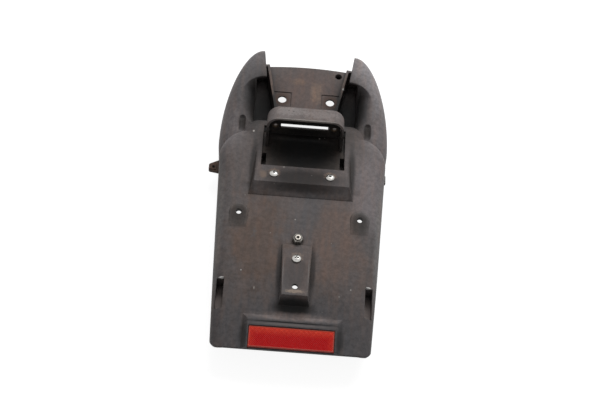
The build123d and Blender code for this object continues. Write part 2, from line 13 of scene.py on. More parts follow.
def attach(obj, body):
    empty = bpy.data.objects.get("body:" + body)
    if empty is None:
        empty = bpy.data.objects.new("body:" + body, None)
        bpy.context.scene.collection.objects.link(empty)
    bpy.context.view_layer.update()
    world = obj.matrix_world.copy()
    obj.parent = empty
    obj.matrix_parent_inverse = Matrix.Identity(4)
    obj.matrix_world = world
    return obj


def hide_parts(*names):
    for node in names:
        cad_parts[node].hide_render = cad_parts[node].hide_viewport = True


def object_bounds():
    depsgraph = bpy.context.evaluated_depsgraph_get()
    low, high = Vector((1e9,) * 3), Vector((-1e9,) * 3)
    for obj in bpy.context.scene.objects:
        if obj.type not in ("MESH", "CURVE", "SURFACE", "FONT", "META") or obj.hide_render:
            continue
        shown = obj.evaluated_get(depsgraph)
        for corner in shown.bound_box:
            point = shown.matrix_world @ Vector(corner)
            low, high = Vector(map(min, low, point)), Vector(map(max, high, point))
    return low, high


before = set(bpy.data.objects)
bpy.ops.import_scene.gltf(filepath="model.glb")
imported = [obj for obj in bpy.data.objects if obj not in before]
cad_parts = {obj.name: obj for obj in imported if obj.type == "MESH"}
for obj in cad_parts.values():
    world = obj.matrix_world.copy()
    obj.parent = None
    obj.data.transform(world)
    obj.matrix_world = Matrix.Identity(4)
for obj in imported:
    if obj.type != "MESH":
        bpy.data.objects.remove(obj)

LOG = logging.getLogger("fender")
CAD_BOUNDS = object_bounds()
MM = 0.001
SMOOTH_ANGLE = 32.0
MERGE_DISTANCE = 2e-6

Triple = tuple[float, float, float]
Double = tuple[float, float]
Socket = bpy.types.NodeSocket
Value = Union[Socket, float, Sequence[float]]


class Slot(Enum):
    """Names of material slots."""

    PRISM = "red_prism_plastic"


class Blend(Enum):
    """Ways to mix two colours."""

    OVER = "MIX"
    MULTIPLY = "MULTIPLY"


class Graph:
    """Adds and links the nodes of one node tree."""

    def __init__(self, tree: bpy.types.NodeTree) -> None:
        """Keep the tree."""
        self.tree = tree

    def add(self, kind: str, **settings: object) -> bpy.types.Node:
        """Add a node.

        Args:
            kind: Node type, for a shader node without its ShaderNode prefix.
            settings: Attributes to set on the node.

        Returns:
            The new node.
        """
        prefix = "" if kind.startswith(("Node", "Geometry", "Function")) else "ShaderNode"
        node = self.tree.nodes.new(prefix + kind)
        for name, value in settings.items():
            setattr(node, name, value)
        return node

    def put(self, socket: Socket, value: Value) -> None:
        """Link an output into a socket, or set the socket's plain value.

        Args:
            socket: Input that takes the value.
            value: Output to link, a number, or the parts of a vector or colour.
        """
        if isinstance(value, bpy.types.NodeSocket):
            self.tree.links.new(value, socket)
        elif isinstance(value, (int, float)):
            socket.default_value = value
        else:
            fill = [1.0] * (len(socket.default_value) - len(value))
            socket.default_value = list(value) + fill

    def math(self, operation: str, *values: Value, clamp: bool = False) -> Socket:
        """Add a math node.

        Args:
            operation: Blender's name of the operation.
            values: One to three inputs.
            clamp: Whether the result stays between 0 and 1.

        Returns:
            The result.
        """
        node = self.add("Math", operation=operation, use_clamp=clamp)
        for socket, value in zip(node.inputs, values):
            self.put(socket, value)
        return node.outputs[0]

    def vector(self, operation: str, *values: Value) -> bpy.types.Node:
        """Add a vector math node.

        Args:
            operation: Blender's name of the operation.
            values: One or two vectors.

        Returns:
            The node, whose outputs are a vector and a value.
        """
        node = self.add("VectorMath", operation=operation)
        for socket, value in zip(node.inputs, values):
            self.put(socket, value)
        return node

    def mix(self, factor: Value, first: Value, second: Value, blend: Blend = Blend.OVER) -> Socket:
        """Mix two colours.

        Args:
            factor: Share of the second colour.
            first: Colour below.
            second: Colour on top.
            blend: How the second goes over the first.

        Returns:
            The mixed colour.
        """
        node = self.add("Mix", data_type="RGBA", blend_type=blend.value)
        for name, value in (("Factor_Float", factor), ("A_Color", first), ("B_Color", second)):
            socket = next(s for s in node.inputs if s.identifier == name)
            self.put(socket, value)
        return next(s for s in node.outputs if s.identifier == "Result_Color")

    def span(
        self, value: Value, low: float, high: float, start: float = 0.0, end: float = 1.0
    ) -> Socket:
        """Map a value by a smooth step.

        Args:
            value: Value to map.
            low: Value at which the step begins.
            high: Value at which the step is over.
            start: Result up to the low value.
            end: Result from the high value on.

        Returns:
            The mapped value.
        """
        node = self.add("MapRange", interpolation_type="SMOOTHSTEP")
        for socket, given in zip(node.inputs, (value, low, high, start, end)):
            self.put(socket, given)
        return node.outputs[0]

    def noise(
        self, where: Socket, scale: Value, detail: float = 4.0, rough: float = 0.55
    ) -> Socket:
        """Add a noise.

        Args:
            where: Place at which it is read.
            scale: Waves per metre.
            detail: Number of finer layers.
            rough: Strength of the finer layers.

        Returns:
            The noise value.
        """
        node = self.add("TexNoise")
        given = (("Vector", where), ("Scale", scale), ("Detail", detail), ("Roughness", rough))
        for name, value in given:
            self.put(node.inputs[name], value)
        return node.outputs[0]

    def call(self, group: bpy.types.NodeTree, **values: Value) -> bpy.types.Node:
        """Use a node group.

        Args:
            group: The group's tree.
            values: Values of its inputs by name.

        Returns:
            The group's node.
        """
        node = self.add("Group")
        node.node_tree = group
        for name, value in values.items():
            self.put(node.inputs[name], value)
        return node


def new_group(name: str, inputs: Iterable[tuple], outputs: Iterable[tuple]) -> tuple:
    """Start a shader node group.

    Args:
        name: Name of the group.
        inputs: Name, socket type and default of each input.
        outputs: Name and socket type of each output.

    Returns:
        The group's tree, its graph, its input node and its output node.
    """
    tree = bpy.data.node_groups.new(name, "ShaderNodeTree")
    for label, kind, default in inputs:
        socket = tree.interface.new_socket(label, in_out="INPUT", socket_type=kind)
        socket.default_value = default
    for label, kind in outputs:
        tree.interface.new_socket(label, in_out="OUTPUT", socket_type=kind)
    graph = Graph(tree)
    return tree, graph, graph.add("NodeGroupInput"), graph.add("NodeGroupOutput")


@dataclass
class Effects:
    """Shader effects that several finishes share. Scales are in waves per metre."""

    spot_core: float = 0.35
    ring_edge: float = 8.0
    cloud_scale: float = 26.0
    mottle_scale: float = 210.0
    streak_scale: float = 170.0
    streak_squeeze: Triple = (1.0, 0.12, 0.4)
    speck_scale: float = 105.0
    speck_patch_scale: float = 37.0
    grain_scale: float = 900.0

    def __post_init__(self) -> None:
        """Build the node groups."""
        self.spot = self.make_spot()
        self.grime = self.make_grime()
        self.soft_edge = self.make_soft_edge()

    def make_spot(self) -> bpy.types.NodeTree:
        """Build the group that masks a ragged oval or ring round a centre.

        Returns:
            The group, whose output is the mask.
        """
        tree, g, given, out = new_group(
            "RaggedSpot",
            [
                ("Centre", "NodeSocketVector", (0, 0, 0)),
                ("Radii", "NodeSocketVector", (0.01, 0.01, 0.01)),
                ("Hollow", "NodeSocketFloat", 0.0),
                ("Ragged", "NodeSocketFloat", 0.5),
                ("Grain", "NodeSocketFloat", 90.0),
            ],
            [("Mask", "NodeSocketFloat")],
        )
        where = g.add("TexCoord").outputs["Object"]
        away = g.vector("SUBTRACT", where, given.outputs["Centre"]).outputs[0]
        away = g.vector("DIVIDE", away, given.outputs["Radii"]).outputs[0]
        reach = g.vector("LENGTH", away).outputs["Value"]
        fray = g.math("SUBTRACT", g.noise(where, given.outputs["Grain"], 5.0, 0.65), 0.5)
        reach = g.math("MULTIPLY_ADD", fray, given.outputs["Ragged"], reach)
        outer = g.span(reach, self.spot_core, 1.0, 1.0, 0.0)
        past = g.math("SUBTRACT", reach, given.outputs["Hollow"])
        inner = g.math("MULTIPLY_ADD", past, self.ring_edge, 1.0, clamp=True)
        g.put(out.inputs["Mask"], g.math("MULTIPLY", outer, inner))
        return tree

    def make_grime(self) -> bpy.types.NodeTree:
        """Build the group of large clouds, mottling, lengthwise streaks, pale specks and grain.

        Returns:
            The group, with an output for each of the five.
        """
        names = ("Cloud", "Mottle", "Streak", "Speck", "Grain")
        tree, g, _, out = new_group("RoadGrime", [], [(name, "NodeSocketFloat") for name in names])
        where = g.add("TexCoord").outputs["Object"]
        cloud = g.noise(where, self.cloud_scale, 5.0, 0.6)
        g.put(out.inputs["Cloud"], g.span(cloud, 0.36, 0.66))
        g.put(out.inputs["Mottle"], g.noise(where, self.mottle_scale, 6.0, 0.72))
        drawn = g.vector("MULTIPLY", where, self.streak_squeeze).outputs[0]
        streak = g.noise(drawn, self.streak_scale, 4.0, 0.6)
        g.put(out.inputs["Streak"], g.span(streak, 0.40, 0.68))
        cells = g.add("TexVoronoi", feature="F1")
        g.put(cells.inputs["Vector"], where)
        g.put(cells.inputs["Scale"], self.speck_scale)
        rare = g.span(g.noise(where, self.speck_patch_scale, 2.0), 0.59, 0.66)
        dot = g.span(cells.outputs["Distance"], 0.05, 0.12, 1.0, 0.0)
        g.put(out.inputs["Speck"], g.math("MULTIPLY", rare, dot))
        g.put(out.inputs["Grain"], g.noise(where, self.grain_scale, 3.0, 0.6))
        return tree

    def make_soft_edge(self) -> bpy.types.NodeTree:
        """Build the group that rounds edges, finds edges, and masks crevices by ambient occlusion
        for dirt and painted shade.

        Returns:
            The group, whose outputs are a normal and the masks of edges and crevices.
        """
        tree, g, given, out = new_group(
            "SoftEdge",
            [
                ("Radius", "NodeSocketFloat", 0.001),
                ("Depth", "NodeSocketFloat", 0.006),
                ("Height", "NodeSocketFloat", 0.0),
                ("Strength", "NodeSocketFloat", 0.1),
                ("Distance", "NodeSocketFloat", 0.0002),
            ],
            [
                ("Normal", "NodeSocketVector"),
                ("Edge", "NodeSocketFloat"),
                ("CreviceDirtAndShade", "NodeSocketFloat"),
            ],
        )
        bevel = g.add("Bevel", samples=6)
        g.put(bevel.inputs["Radius"], given.outputs["Radius"])
        bump = g.add("Bump")
        for name in ("Height", "Strength", "Distance"):
            g.put(bump.inputs[name], given.outputs[name])
        g.put(bump.inputs["Normal"], bevel.outputs[0])
        g.put(out.inputs["Normal"], bump.outputs[0])
        flat = g.add("NewGeometry").outputs["Normal"]
        turn = g.vector("DOT_PRODUCT", bevel.outputs[0], flat).outputs["Value"]
        g.put(out.inputs["Edge"], g.span(turn, 0.80, 0.995, 1.0, 0.0))
        # Ambient occlusion: finishes darken crevices with this mask, as painted shade and dirt.
        shelter = g.add("AmbientOcclusion", samples=8)
        g.put(shelter.inputs["Distance"], given.outputs["Depth"])
        g.put(out.inputs["CreviceDirtAndShade"], g.span(shelter.outputs["AO"], 0.45, 0.92, 1.0, 0.0))
        return tree


def new_material(name: str) -> tuple:
    """Start a material.

    Args:
        name: Name of the material.

    Returns:
        The material, its graph and its Principled BSDF.
    """
    material = bpy.data.materials.new(name)
    material.use_nodes = True
    graph = Graph(material.node_tree)
    return material, graph, material.node_tree.nodes["Principled BSDF"]


@dataclass(frozen=True)
class ColourSpot:
    """One ragged oval or ring of colour.

    Attributes:
        centre: Its middle, in millimetres of the row frame.
        radii: Its reach along x, y and z, in millimetres.
        colour: Its colour.
        strength: Share of that colour in its middle.
        ragged: How far noise frays its outline.
        grain: Waves per metre of that noise.
        hollow: Share of the reach that stays bare, for a ring.
    """

    centre: Triple
    radii: Triple
    colour: Triple
    strength: float
    ragged: float = 1.0
    grain: float = 90.0
    hollow: float = 0.0


ColourSpots = tuple[ColourSpot, ...]


def pair(colour_spot: ColourSpot) -> ColourSpots:
    """The spot with its mirror image across the centre plane."""
    x, y, z = colour_spot.centre
    return colour_spot, replace(colour_spot, centre=(-x, y, z))


@dataclass(frozen=True)
class MouldingFinish:
    """Greyed black plastic with spots of colour and painted light, pale specks, and dirt and
    painted shade in its crevices.
    """

    name: str
    base: Triple
    cloud: Triple
    # Spots under the crevice mask, painted light and shade among them.
    stains_and_painted_light: ColourSpots = ()
    # Spots over the crevice mask, painted light and shade among them.
    scuffs_and_painted_light: ColourSpots = ()
    # Colour of the dirt and painted shade in crevices.
    crevice_dirt_and_shade: Triple = (0.016, 0.015, 0.0145)
    edge: Triple = (0.17, 0.155, 0.148)
    rusty_streak: Triple = (1.12, 1.035, 0.985)
    cool_streak: Triple = (0.96, 0.97, 0.98)
    speck: Triple = (0.50, 0.47, 0.44)
    mottle: Double = (0.78, 1.24)
    roughness: Double = (0.51, 0.65)
    cloud_share: float = 0.7
    edge_share: float = 0.30
    crevice_dirt_and_shade_share: float = 0.75
    speck_share: float = 0.8
    edge_radius: float = 1.2
    grain_strength: float = 0.22
    sheen: float = 0.14

    def lay(self, g: Graph, effects: Effects, colour: Value, stains_and_painted_light: ColourSpots) -> Value:
        """Lay spots over a colour, painted light and shade among them.

        Args:
            g: Graph of the material.
            effects: Shared effects.
            colour: Colour under the spots.
            stains_and_painted_light: Spots in the order they are laid, painted light and shade
                among them.

        Returns:
            The stained colour.
        """
        for colour_spot in stains_and_painted_light:
            spot = g.call(
                effects.spot,
                Centre=[c * MM for c in colour_spot.centre],
                Radii=[r * MM for r in colour_spot.radii],
                Hollow=colour_spot.hollow,
                Ragged=colour_spot.ragged,
                Grain=colour_spot.grain,
            )
            mask = g.math("MULTIPLY", spot.outputs["Mask"], colour_spot.strength)
            colour = g.mix(mask, colour, colour_spot.colour)
        return colour

    def material(self, effects: Effects) -> bpy.types.Material:
        """Build the material.

        Args:
            effects: Shared effects.

        Returns:
            The material, with spots laid under the crevice mask and over it, painted light and
            shade among them.
        """
        material, g, shader = new_material(self.name)
        grime = g.call(effects.grime)
        soft = g.call(
            effects.soft_edge,
            Radius=self.edge_radius * MM,
            Height=grime.outputs["Grain"],
            Strength=self.grain_strength,
        )
        clouded = g.math("MULTIPLY", grime.outputs["Cloud"], self.cloud_share)
        colour = g.mix(clouded, self.base, self.cloud)
        colour = self.lay(g, effects, colour, self.stains_and_painted_light)
        mottle = g.span(grime.outputs["Mottle"], 0.3, 0.7, *self.mottle)
        colour = g.mix(1.0, colour, mottle, Blend.MULTIPLY)
        streaks = g.mix(grime.outputs["Streak"], self.cool_streak, self.rusty_streak)
        colour = g.mix(1.0, colour, streaks, Blend.MULTIPLY)
        worn = g.math("MULTIPLY", soft.outputs["Edge"], self.edge_share)
        colour = g.mix(worn, colour, self.edge)
        # Darken crevices found by ambient occlusion: dirt and painted shade.
        dirt_and_shade_mask = g.math("MULTIPLY", soft.outputs["CreviceDirtAndShade"], self.crevice_dirt_and_shade_share)
        colour = g.mix(dirt_and_shade_mask, colour, self.crevice_dirt_and_shade)
        colour = self.lay(g, effects, colour, self.scuffs_and_painted_light)
        dotted = g.math("MULTIPLY", grime.outputs["Speck"], self.speck_share)
        colour = g.mix(dotted, colour, self.speck)
        g.put(shader.inputs["Base Color"], colour)
        rough = g.span(grime.outputs["Mottle"], 0.3, 0.7, *self.roughness)
        g.put(shader.inputs["Roughness"], rough)
        g.put(shader.inputs["Specular IOR Level"], self.sheen)
        g.put(shader.inputs["Normal"], soft.outputs["Normal"])
        return material


@dataclass(frozen=True)
class SteelFinish:
    """Plated or darkened steel, or backing, with dirt, and dirt and painted shade in its crevices.
    """

    name: str
    bright: Triple
    # Colour of the dirt, also laid in crevices as painted shade.
    dirt: Triple
    dirt_share: float
    roughness: float
    metallic: float = 1.0
    dirt_roughness: float = 0.75
    crevice_dirt_and_shade_share: float = 0.85
    edge_radius: float = 0.4
    crevice_depth: float = 2.0
    grain_strength: float = 0.15

    def material(self, effects: Effects) -> bpy.types.Material:
        """Build the material.

        Args:
            effects: Shared effects.

        Returns:
            The material, duller and rougher in patches of dirt and in crevices with painted shade.
        """
        material, g, shader = new_material(self.name)
        grime = g.call(effects.grime)
        soft = g.call(
            effects.soft_edge,
            Radius=self.edge_radius * MM,
            Depth=self.crevice_depth * MM,
            Height=grime.outputs["Grain"],
            Strength=self.grain_strength,
        )
        onset = 0.62 - 0.5 * self.dirt_share
        patch = g.span(grime.outputs["Mottle"], onset, onset + 0.10)
        patch = g.math("MULTIPLY", patch, self.dirt_share)
        # Dirt patches plus the crevice mask, which paints shade as well as dirt.
        crevice_dirt_and_shade = soft.outputs["CreviceDirtAndShade"]
        dirt_and_shade_mask = g.math("MULTIPLY_ADD", crevice_dirt_and_shade, self.crevice_dirt_and_shade_share, patch, clamp=True)
        clean = g.math("SUBTRACT", 1.0, dirt_and_shade_mask)
        rough = g.span(dirt_and_shade_mask, 0.0, 1.0, self.roughness, self.dirt_roughness)
        g.put(shader.inputs["Base Color"], g.mix(dirt_and_shade_mask, self.bright, self.dirt))
        g.put(shader.inputs["Metallic"], g.math("MULTIPLY", clean, self.metallic))
        g.put(shader.inputs["Roughness"], rough)
        g.put(shader.inputs["Normal"], soft.outputs["Normal"])
        return material


@dataclass(frozen=True)
class PrismFinish:
    """Clear red plastic with painted glints on its prisms, and a pale rim."""

    name: str = "red_prisms_with_painted_glints"
    deep: Triple = (0.56, 0.005, 0.007)
    # Colour of the painted glints.
    bright: Triple = (1.0, 0.105, 0.050)
    rim: Triple = (0.46, 0.17, 0.13)
    dust: Triple = (0.40, 0.018, 0.018)
    dust_share: float = 0.35
    roughness: Double = (0.30, 0.45)
    sheen: float = 0.12

    def material(self, effects: Effects) -> bpy.types.Material:
        """Build the material.

        Args:
            effects: Shared effects.

        Returns:
            The material, which reads the painted glints and the rim of the lens's points.
        """
        material, g, shader = new_material(self.name)
        grime = g.call(effects.grime)
        painted_glint = g.add("Attribute", attribute_name=Reflector.PAINTED_GLINT).outputs["Fac"]
        rim = g.add("Attribute", attribute_name=Reflector.RIM).outputs["Fac"]
        # Painted glint: brighter red where the prisms would catch the light.
        colour = g.mix(painted_glint, self.deep, self.bright)
        dusty = g.span(grime.outputs["Mottle"], 0.50, 0.75, 0.0, self.dust_share)
        colour = g.mix(dusty, colour, self.dust)
        rough = g.span(grime.outputs["Mottle"], 0.3, 0.7, *self.roughness)
        g.put(shader.inputs["Base Color"], g.mix(rim, colour, self.rim))
        g.put(shader.inputs["Roughness"], rough)
        g.put(shader.inputs["Specular IOR Level"], self.sheen)
        return material


Look = Union[MouldingFinish, SteelFinish, PrismFinish]


def smooth_modifier(angle: float) -> bpy.types.NodeTree:
    """Build the geometry group that smooths every edge flatter than an angle.

    Args:
        angle: The angle, in degrees.

    Returns:
        The group.
    """
    tree = bpy.data.node_groups.new("SmoothByAngle", "GeometryNodeTree")
    for side in ("INPUT", "OUTPUT"):
        tree.interface.new_socket("Geometry", in_out=side, socket_type="NodeSocketGeometry")
    g = Graph(tree)
    given, out = g.add("NodeGroupInput"), g.add("NodeGroupOutput")
    merge = g.add("GeometryNodeMergeByDistance")
    g.put(merge.inputs["Distance"], MERGE_DISTANCE)
    faces = g.add("GeometryNodeSetShadeSmooth", domain="FACE")
    edges = g.add("GeometryNodeSetShadeSmooth", domain="EDGE")
    bend = g.add("GeometryNodeInputMeshEdgeAngle")
    flat = g.add("FunctionNodeCompare", operation="LESS_THAN")
    g.put(flat.inputs[0], bend.outputs["Unsigned Angle"])
    g.put(flat.inputs[1], math.radians(angle))
    g.put(merge.inputs["Geometry"], given.outputs[0])
    g.put(faces.inputs["Geometry"], merge.outputs["Geometry"])
    g.put(edges.inputs["Geometry"], faces.outputs["Geometry"])
    g.put(edges.inputs["Shade Smooth"], flat.outputs[0])
    g.put(out.inputs[0], edges.outputs["Geometry"])
    return tree


class Dresser:
    """Gives CAD nodes their finish and smooth shading."""

    def __init__(self) -> None:
        """Build what all pieces share."""
        self.effects = Effects()
        self.smooth = smooth_modifier(SMOOTH_ANGLE)
        self.made: dict[str, bpy.types.Material] = {}

    def finish(self, look: Look) -> bpy.types.Material:
        """Give the material of a finish, built at its first use.

        Args:
            look: The finish.

        Returns:
            Its material.
        """
        if look.name not in self.made:
            self.made[look.name] = look.material(self.effects)
        return self.made[look.name]

    def dress(self, node: str, look: Look) -> None:
        """Finish one CAD node.

        Args:
            node: Name of the CAD node.
            look: Finish it takes.
        """
        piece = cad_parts[node]
        piece.data.materials.clear()
        piece.data.materials.append(self.finish(look))
        modifier = piece.modifiers.new("smooth", "NODES")
        modifier.node_group = self.smooth
        LOG.info("dressed %s as %s", node, look.name)


SCREW = SteelFinish("plated_screw", (0.52, 0.51, 0.485), (0.040, 0.032, 0.027), 0.15, 0.30)
BOLT_END = SteelFinish("worn_bolt_end", (0.36, 0.335, 0.30), (0.03, 0.025, 0.022), 0.25, 0.40)
STEEL = SteelFinish("dull_steel", (0.20, 0.19, 0.175), (0.045, 0.036, 0.030), 0.45, 0.45)
RUST = SteelFinish("rusty_sheet", (0.10, 0.055, 0.035), (0.05, 0.025, 0.015), 0.9, 0.6)
BACKING = SteelFinish("pale_backing", (0.45, 0.08, 0.07), (0.10, 0.05, 0.04), 0.1, 0.4, 0.0)


@dataclass
class MouldedShell:
    """The fender's one-piece moulding with the spots of its zones, painted light and shade among
    them.
    """

    base: Triple = (0.134, 0.117, 0.114)
    cloud: Triple = (0.110, 0.099, 0.098)
    flap: Triple = (0.097, 0.092, 0.095)
    left_brown: Triple = (0.124, 0.092, 0.078)
    right_brown: Triple = (0.144, 0.109, 0.096)
    # Horn tops: painted highlight of the key light, stronger on the right.
    left_horn_highlight: Triple = (0.190, 0.177, 0.179)
    right_horn_highlight: Triple = (0.325, 0.302, 0.308)
    # Near black for painted shade.
    painted_shade: Triple = (0.010, 0.010, 0.010)

    def zones(self) -> ColourSpots:
        """List the large zones.

        Returns:
            Grey flap, brown panel, painted highlight on pale edges, bulbs and horns, and dark
            neck.
        """
        return (
            ColourSpot((0, -312, 5), (130, 66, 44), self.flap, 1.0, 0.5),
            ColourSpot((-45, -208, 22), (44, 76, 30), self.left_brown, 0.95, 1.4, 60.0),
            ColourSpot((40, -208, 22), (42, 72, 30), self.right_brown, 0.90, 1.4, 60.0),
            ColourSpot((8, -172, 24), (17, 42, 12), (0.108, 0.103, 0.106), 0.7, 1.2, 70.0),
            # Painted highlight on the right shoulder, on the side the key light comes from.
            ColourSpot((80, -135, 22), (36, 70, 30), (0.205, 0.183, 0.186), 0.85, 0.5),
            # Painted highlight on the rolled side edges.
            *pair(ColourSpot((89, -200, 12), (12, 130, 26), (0.225, 0.219, 0.216), 0.75, 0.4)),
            # Painted highlight on the bulbs' outer flanks.
            *pair(ColourSpot((84, -55, 14), (30, 60, 42), (0.200, 0.180, 0.181), 0.95, 0.5)),
            # Painted highlight on the horn tops.
            ColourSpot((-72, 14, 30), (42, 72, 44), self.left_horn_highlight, 1.0, 0.4),
            ColourSpot((72, 14, 30), (42, 72, 44), self.right_horn_highlight, 1.0, 0.4),
            ColourSpot((0, -72, 29), (74, 34, 9), (0.088, 0.074, 0.067), 0.85, 0.8),
        )

    def pockets(self) -> ColourSpots:
        """Painted shade in the pockets and on the bulbs' inner flanks."""
        # Near black: painted shade in the pockets.
        return pair(ColourSpot((48, -20, 10), (46, 72, 54), (0.023, 0.0225, 0.0225), 1.0, 0.12))

    def plate(self) -> ColourSpots:
        """List the spots of the mounting plate.

        Returns:
            Brown dirt, rubbed ribs and two tan stains.
        """
        return (
            ColourSpot((0, 14, 2), (54, 52, 9), (0.128, 0.098, 0.090), 0.95, 0.7),
            *pair(ColourSpot((44, 15, 6), (6, 42, 4), (0.165, 0.125, 0.108), 0.8, 1.2, 160.0)),
            ColourSpot((11, 12, 1.5), (9, 23, 5), (0.215, 0.155, 0.122), 0.85, 1.4, 140.0),
            ColourSpot((-10, 27, 1), (12, 7, 4), (0.19, 0.135, 0.105), 0.6, 1.6, 160.0),
        )

    def pad(self) -> ColourSpots:
        """List the spots of the lamp pad.

        Returns:
            Dark face, dark sides and a front darkened by painted shade.
        """
        return (
            ColourSpot((0, -135, 33), (62, 21, 10), (0.023, 0.0195, 0.0188), 0.95, 0.25),
            *pair(ColourSpot((54, -118, 29), (6, 46, 12), (0.030, 0.027, 0.026), 0.85, 0.3)),
            # Painted shade on the pad's front face, which faces away from the light.
            ColourSpot((0, -142, 28), (80, 9, 9), (0.019, 0.0175, 0.0175), 0.9, 0.5, 120.0),
        )

    def bosses(self) -> ColourSpots:
        """List the spots of the number-plate bosses.

        Returns:
            A painted highlight as a pale halo under a dark tongue, on both sides.
        """
        return (
            # Painted highlight: a pale ring round each boss.
            *pair(ColourSpot((65, -179, 27), (18, 19, 8), (0.185, 0.175, 0.170), 0.6, 0.3, 90.0, 0.55)),
            *pair(ColourSpot((65, -178, 27), (14, 14, 6), (0.047, 0.042, 0.040), 0.9, 0.15)),
            *pair(ColourSpot((65, -187, 26), (14, 14, 6), (0.060, 0.053, 0.050), 0.85, 0.15)),
        )

    def marks(self) -> ColourSpots:
        """List the spots of the smaller forms.

        Returns:
            Painted shade in the dents and on the block, a painted highlight on the bezel, and
            spots on the block, bezel and left ear.
        """
        return (
            # Painted shade in the dents.
            *pair(ColourSpot((71, -58, 25), (6, 12, 9), (0.040, 0.034, 0.031), 0.9, 0.3)),
            ColourSpot((0, -243, 27), (19, 40, 8), (0.084, 0.072, 0.070), 0.85, 0.5),
            # Painted shadow lines on the block's side walls.
            *pair(ColourSpot((17.5, -243, 22), (4.5, 46, 9), (0.030, 0.027, 0.027), 0.8, 0.2)),
            # Painted shade on the block's front face.
            ColourSpot((0, -282, 16), (30, 12, 16), self.painted_shade, 1.0, 0.1),
            ColourSpot((0, -279, 20), (34, 6.5, 12), self.painted_shade, 1.0, 0.1),
            # Painted highlight on the bezel's top ramp, which faces the key light.
            ColourSpot((0, -290.5, 13), (62, 7, 8), (0.205, 0.176, 0.170), 0.95, 0.5),
            *pair(ColourSpot((49.5, -313, 8), (6, 22, 10), (0.034, 0.033, 0.033), 0.85, 0.2)),
            ColourSpot((-98, -96, -12), (9, 13, 9), (0.085, 0.046, 0.028), 0.8, 0.8),
        )

    def scuffs_and_painted_light(self) -> ColourSpots:
        """List the marks that lie over the crevice mask.

        Returns:
            Worn rings, rubbed edges, painted light and shade at the bezel, pockets and slots, and
            single specks.
        """
        pad_ring = (0.28, 0.20, 0.155)
        return (
            *pair(ColourSpot((28.2, 0, 0.4), (13, 13, 3), (0.072, 0.043, 0.033), 1.0, 0.4, 90.0, 0.50)),
            *pair(ColourSpot((30.6, -127.4, 35), (8.4, 7.6, 4), pad_ring, 0.85, 1.0, 260.0, 0.50)),
            ColourSpot((-42, -131, 35), (6, 8, 3), (0.20, 0.15, 0.12), 0.8, 1.2, 150.0),
            ColourSpot((0, -226.5, 25.5), (9, 8, 3), (0.30, 0.23, 0.19), 0.7, 1.4, 240.0, 0.45),
            ColourSpot((0, -211.3, 25.5), (17, 0.9, 2.5), (0.26, 0.24, 0.23), 0.85, 0.8, 220.0),
            *pair(ColourSpot((13.2, -238, 27), (0.8, 34, 3), (0.20, 0.185, 0.18), 0.7, 1.2, 220.0)),
            ColourSpot((0, -268.8, 28.3), (13, 3.0, 2), (0.34, 0.27, 0.22), 0.9, 1.8, 420.0),
            # Painted shadow line along the bezel above the lens.
            ColourSpot((0, -297.7, 13), (66, 0.9, 5), self.painted_shade, 1.0, 0.05),
            # Painted highlight: a pale strip between that line and the lens.
            ColourSpot((0, -299.9, 12), (60, 1.7, 5), (0.19, 0.175, 0.172), 0.85, 0.3),
            # Painted shade on the pocket floors.
            *pair(ColourSpot((50, -15, -20), (30, 60, 9), (0.018, 0.018, 0.018), 0.9, 0.2)),
            # Painted light on the rib flanks beside the pockets, which lie in shade.
            *pair(ColourSpot((40, 0, -11), (13, 50, 11), (0.070, 0.067, 0.066), 0.85, 0.2)),
            # Painted light on the slot floors, which lie in shade.
            *pair(ColourSpot((77.5, -272, -1), (7, 22, 7), (0.32, 0.27, 0.255), 0.9, 0.6)),
            # Painted highlights at the slots' upper ends.
            *pair(ColourSpot((76.5, -253.2, 17.2), (4.2, 1.3, 3), (0.90, 0.88, 0.86), 1.0, 0.5, 200.0)),
            ColourSpot((43.3, 17.2, 4.6), (2.6, 2.6, 2.6), (0.80, 0.78, 0.75), 1.0, 0.2),
            ColourSpot((-57, -71, 30), (1.6, 1.6, 1.6), (0.55, 0.52, 0.48), 0.9, 0.4),
            ColourSpot((-57, -244, 20), (1.0, 1.0, 1.0), (0.62, 0.60, 0.58), 0.9, 0.4),
            ColourSpot((-42, -262, 17), (0.9, 2.6, 1.4), (0.50, 0.47, 0.44), 0.8, 0.6),
        )

    def build(self, dresser: Dresser) -> None:
        """Dress the moulding.

        Args:
            dresser: Gives the node its finish.
        """
        stains_and_painted_light = self.zones() + self.pockets() + self.plate() + self.pad()
        stains_and_painted_light += self.bosses() + self.marks()
        look = MouldingFinish("worn_moulding_with_painted_light", self.base, self.cloud, stains_and_painted_light, self.scuffs_and_painted_light())
        dresser.dress("fender_shell", look)


